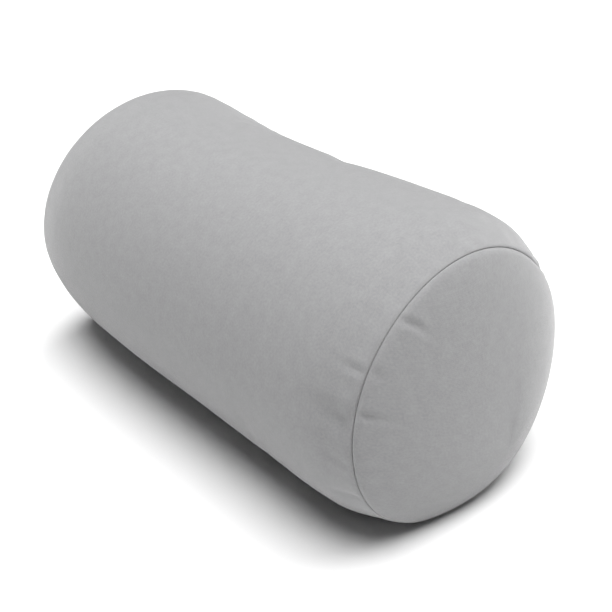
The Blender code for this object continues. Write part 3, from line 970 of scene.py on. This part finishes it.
def zip_tape(word, side, material):
    """A tape with a thicker corded edge, which the teeth are moulded on."""
    edges = sorted((side * TAPE_EDGE, side * TAPE_OUTER))
    tape = block(f"{word}_tape", (-TAPE_END, edges[0], -0.0019), (TAPE_END, edges[1], -0.0013))

    def cord_the_edge():
        pick(lambda centre, normal: normal.y * side < -0.9)
        push = {"value": (0, -side * 0.00035, 0)}
        bpy.ops.mesh.extrude_region_move(TRANSFORM_OT_translate=push)
        bpy.ops.transform.resize(value=(1, 1, 1.6))
        bpy.ops.mesh.extrude_region_move(TRANSFORM_OT_translate=push)

    edit(cord_the_edge, select_everything, face_out)
    soften(tape, 0.00012)
    lay_on_back(tape)
    finish_piece(tape, "pillow", material, "zip_tape", f"zip_tape_{word}")


def teeth_row(word, side, material):
    """One moulded tooth, a block on the tape's edge with a rounded head, and then a row of them."""
    count = 74 if side < 0 else 73
    first = -ZIP_LENGTH / 2 + TOOTH_HALF + (0 if side < 0 else TOOTH_PITCH / 2)
    edges = sorted((side * TAPE_EDGE, side * 0.0029))
    tooth = block(f"{word}_teeth", (-TOOTH_HALF, edges[0], -0.001), (TOOTH_HALF, edges[1], 0.0012))

    def draw_out_head():
        pick(lambda centre, normal: normal.y * side < -0.9)
        bpy.ops.transform.resize(value=(0.9, 1, 0.95))
        bpy.ops.mesh.inset(thickness=0.0002)
        bpy.ops.transform.resize(value=(0.62, 1, 1))
        bpy.ops.mesh.extrude_region_move(TRANSFORM_OT_translate={"value": (0, -side * 0.001, 0)})
        bpy.ops.transform.resize(value=(1.5, 1, 1))
        bpy.ops.mesh.extrude_region_move(TRANSFORM_OT_translate={"value": (0, -side * 0.0009, 0)})
        bpy.ops.transform.resize(value=(0.8, 1, 0.9))

    edit(draw_out_head, select_everything, face_out)
    soften(tooth, 0.00022)
    modifier(
        tooth,
        "row",
        "ARRAY",
        count=count,
        use_relative_offset=False,
        use_constant_offset=True,
        constant_offset_displace=(TOOTH_PITCH, 0, 0),
    )
    lay_on_back(tooth, first)
    finish_piece(tooth, "pillow", material, "zip_teeth", f"zip_teeth_{word}")


def narrow_tail(piece, by):
    """Narrows a slider plate towards the closed chain."""

    def pull_in():
        pick(lambda centre, normal: normal.x < -0.9)
        bpy.ops.transform.resize(value=(1, by, 1), center_override=(0, 0, 0))

    only(piece)
    edit(pull_in)


def zip_slider(material):
    """The outer plate with its cheeks and the bridge that holds the pull tab, and the back plate."""
    slider = block("slider", (-0.005, -0.0047, 0.0003), (0.005, 0.0047, 0.0027))
    channel = block("channel", (-0.006, -0.0033, -0.001), (0.006, 0.0033, 0.0015))
    combine(slider, channel, "DIFFERENCE")
    narrow_tail(slider, 0.9)
    soften(slider, 0.0005, 3)
    deselect()
    bpy.ops.mesh.primitive_plane_add(size=1, location=(0.0027, 0, 0.0022))
    bridge = bpy.context.object
    bridge.scale = (0.0010, 0.0018, 1)
    settle()

    def turn_over():
        bpy.ops.mesh.spin(
            steps=16, angle=-math.pi, center=(0, 0, 0.0022), axis=(0, 1, 0), dupli=False
        )

    edit(turn_over, select_everything, merge_close, face_out)
    for vertex in bridge.data.vertices:
        vertex.co.z = min(vertex.co.z, 0.0056)
    soften(bridge, 0.00025)
    only(slider)
    bridge.select_set(True)
    bpy.ops.object.join()
    slider.name = "slider_casting"
    lay_on_back(slider, SLIDER_REST)
    finish_piece(slider, "zip_slider", material, "zip_metal", "zip_slider")
    back = block("slider_back_plate", (-0.005, -0.0047, -0.0034), (0.005, 0.0047, -0.0022))
    narrow_tail(back, 0.9)
    soften(back, 0.0005, 3)
    lay_on_back(back, SLIDER_REST)
    finish_piece(back, "zip_slider", material, "zip_metal", "zip_slider_back")


def pull_tab(material):
    """A flat cast tab with a pin, a window for the bridge, a sunk grip and rounded corners."""
    tab = block("pull_tab_casting", (-0.024, -0.0031, 0.0030), (0, 0.0031, 0.0043))

    def shape_end():
        pick(lambda centre, normal: normal.x > 0.9)
        bpy.ops.transform.resize(value=(1, 0.85, 1))

    edit(shape_end)

    def round_corners():
        bpy.ops.mesh.select_mode(type="EDGE")
        mesh = bmesh.from_edit_mesh(bpy.context.object.data)
        for edge in mesh.edges:
            one, two = (v.co for v in edge.verts)
            upright = abs(one.z - two.z) > 0.001
            edge.select_set(upright and one.x < -0.02)
        bmesh.update_edit_mesh(bpy.context.object.data)
        bpy.ops.mesh.bevel(offset=0.0022, segments=6)

    edit(round_corners)

    def sink_grip():
        pick(lambda centre, normal: abs(normal.z) > 0.9)
        bpy.ops.mesh.inset(thickness=0.0008)
        bpy.ops.transform.resize(value=(0.62, 1, 1), center_override=(-0.0225, 0, PIN_HEIGHT))
        bpy.ops.transform.resize(value=(1, 1, 0.55), center_override=(0, 0, PIN_HEIGHT))

    edit(sink_grip)
    window = block("window", (-0.0042, -0.0013, 0.001), (-0.0009, 0.0013, 0.006))
    combine(tab, window, "DIFFERENCE")
    deselect()
    bpy.ops.mesh.primitive_cylinder_add(
        vertices=20,
        radius=0.00065,
        depth=0.0062,
        location=(0, 0, PIN_HEIGHT),
        rotation=(math.pi / 2, 0, 0),
    )
    settle()
    combine(tab, bpy.context.object, "UNION")
    soften(tab, 0.0002)
    lay_on_back(tab, SLIDER_REST)
    finish_piece(tab, "pull_tab", material, "zip_metal", "zip_pull_tab")


def zip_stitches(material):
    """The lines of stitching that hold the tapes, a rectangle round the opening."""
    ends = ((-STITCH_END, -1), (STITCH_END, -1), (STITCH_END, 1), (-STITCH_END, 1))
    path = [BACK @ Vector((x, side * STITCH_OUT, 0.00012)) for x, side in ends]
    out = np.array([OUT_OF_BACK] * len(path))
    run = stitches_along("zip_stitches", np.array(path), out, 0.0025, 0.0030, 0.00045)
    finish_piece(run, "pillow", material, "sewing_thread", "zip_stitching")


def care_label(material):
    """A blank ribbon folded in two, its ends held in the end seam, lying on the cover."""
    start, length, fold = 0.0012 - BODY_LENGTH / 2, 0.0213, 0.00022
    clear, lift = 0.00050, 0.0006
    walk = np.linspace(0, 1, 16)
    upper = [(start + length * t, clear + 2 * fold + lift * t**3) for t in walk]
    turn = [
        (start + length + fold * math.sin(a), clear + fold + lift + fold * math.cos(a))
        for a in np.linspace(0.5, math.pi - 0.5, 5)
    ]
    lower = [(start + length * t, clear + lift * t**3) for t in walk[::-1]]
    path = np.array(upper + turn + lower)
    across = np.linspace(-1, 1, 17)
    angle = math.radians(-24) + across * math.radians(10)
    station = path[:, :1] / (BODY_LENGTH / 2)
    on_cover = body_point(station, angle[None])
    spokes = on_cover - np.array([0, 0, AXIS_HEIGHT])
    spokes[..., 0] = 0
    on_cover = on_cover + unit(spokes) * swell_at("body", station[:, 0], angle)
    wave = 0.00025 * np.sin(across * 4 + 0.8) * ((path[:, :1] - start) / length) ** 2
    points = on_cover + unit(spokes) * (path[:, 1:] + np.maximum(wave, 0))[..., None]
    walked = np.concatenate([[0], np.cumsum(np.linalg.norm(np.diff(path, axis=0), axis=1))])
    ruler = np.stack(np.broadcast_arrays(across * 0.0155, walked[:, None]), axis=-1)
    label = cloth_grid("folded_label", points, ruler)
    thicken(label, 0.00015)
    finish_piece(label, "pillow", material, "label_ribbon", "care_label")


# The floor, the light and the camera.

FLOOR_SIZE = 60
LIGHT_SPREAD = math.radians(50)
VIEW_TURN = math.radians(48.99)
VIEW_RISE = math.radians(32.72)
VIEW_DISTANCE = 0.855
AIM_RIGHT = 0.0121
AIM_DOWN = 0.0161
LENS = 73.6


def studio():
    """A pale floor under two wide lights, and a white surround that only shiny things reflect."""
    deselect()
    bpy.ops.mesh.primitive_plane_add(size=FLOOR_SIZE)
    floor = bpy.context.object
    floor.name = "floor"
    floor.data.materials.append(pale_floor())
    world = bpy.data.worlds.new("studio")
    bpy.context.scene.world = world
    world.use_nodes = True
    world.node_tree.nodes["Background"].inputs["Color"].default_value = hex_colour("#FFFFFF")
    world.node_tree.nodes["Background"].inputs["Strength"].default_value = 1.0
    world.cycles_visibility.diffuse = False
    wide_light("overhead", 0, 90, 3.91)
    wide_light("behind", 90, 55, 1.46)
    bpy.context.scene.view_settings.view_transform = "Standard"


def wide_light(name, turn, rise, power):
    """A very wide, even light from one way, with soft shadows like a large studio panel's."""
    turn, rise = math.radians(turn), math.radians(rise)
    level = math.cos(rise)
    toward = Vector((math.cos(turn) * level, math.sin(turn) * level, math.sin(rise)))
    bpy.ops.object.light_add(type="SUN", location=toward)
    lamp = bpy.context.object
    lamp.name = name
    lamp.data.energy = power
    lamp.data.angle = LIGHT_SPREAD
    lamp.rotation_euler = toward.to_track_quat("Z", "Y").to_euler()


def camera():
    """A camera that looks down on the near end and along the front."""
    across, away, level = math.cos(VIEW_TURN), math.sin(VIEW_TURN), math.cos(VIEW_RISE)
    toward = Vector((away * level, -across * level, math.sin(VIEW_RISE)))
    right = Vector((across, away, 0))
    up = toward.cross(right)
    aim = Vector((0, 0, AXIS_HEIGHT)) + right * AIM_RIGHT - up * AIM_DOWN
    bpy.ops.object.camera_add(location=aim + toward * VIEW_DISTANCE)
    made = bpy.context.object
    made.rotation_euler = toward.to_track_quat("Z", "Y").to_euler()
    made.data.sensor_width = 36
    made.data.lens = LENS
    made.data.clip_start = 0.01
    bpy.context.scene.camera = made


camera()
studio()

KNIT_CLOTH = stretch_knit()
THREAD = twisted_thread("spun_polyester_thread", "#7E7E80", "#959597")
WHITE_THREAD = twisted_thread("white_overlock_thread", "#DAD9D5", "#ECEBE8")
TAPE_WEAVE = woven_tape()
TEETH_PLASTIC = moulded_teeth()
ZIP_METAL = plated_zinc()
LABEL_SATIN = satin_ribbon()
LINER_CLOTH = liner_weave()
BEADS = foam_beads()

SWELL = swell_cover()

cover_body(KNIT_CLOTH)
cover_end("cover_near_end_knit", 1, KNIT_CLOTH, "cover_near_end_panel")
cover_end("cover_far_end_knit", -1, KNIT_CLOTH, "cover_far_end_panel")
for end, direction in (("near", 1), ("far", -1)):
    end_seam_stitches(
        f"{end}_seam_stitches",
        direction,
        lambda angle: GROOVE * seam_roll(angle, direction),
        COVER_LAYER,
        THREAD,
        "sewing_thread",
        f"cover_{end}_seam_thread",
    )
    end_seam_stitches(
        f"{end}_liner_overlock",
        direction,
        lambda angle: np.full_like(angle, -0.0008),
        LINER_LAYER,
        WHITE_THREAD,
        "liner_thread",
        f"liner_{end}_seam_thread",
        slant=0.5,
    )
    liner_end(f"liner_{end}_end_cloth", direction, LINER_CLOTH, f"liner_{end}_end_panel")
liner_body(LINER_CLOTH)
bead_filling(BEADS)

for row, direction in (("upper", -1), ("lower", 1)):
    zip_tape(row, direction, TAPE_WEAVE)
    teeth_row(row, direction, TEETH_PLASTIC)
for node in ("zip_top_stop_upper", "zip_top_stop_lower", "zip_bottom_stop"):
    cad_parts[node].data.materials.clear()
    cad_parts[node].data.materials.append(ZIP_METAL)
zip_slider(ZIP_METAL)
pull_tab(ZIP_METAL)
zip_stitches(THREAD)
care_label(LABEL_SATIN)
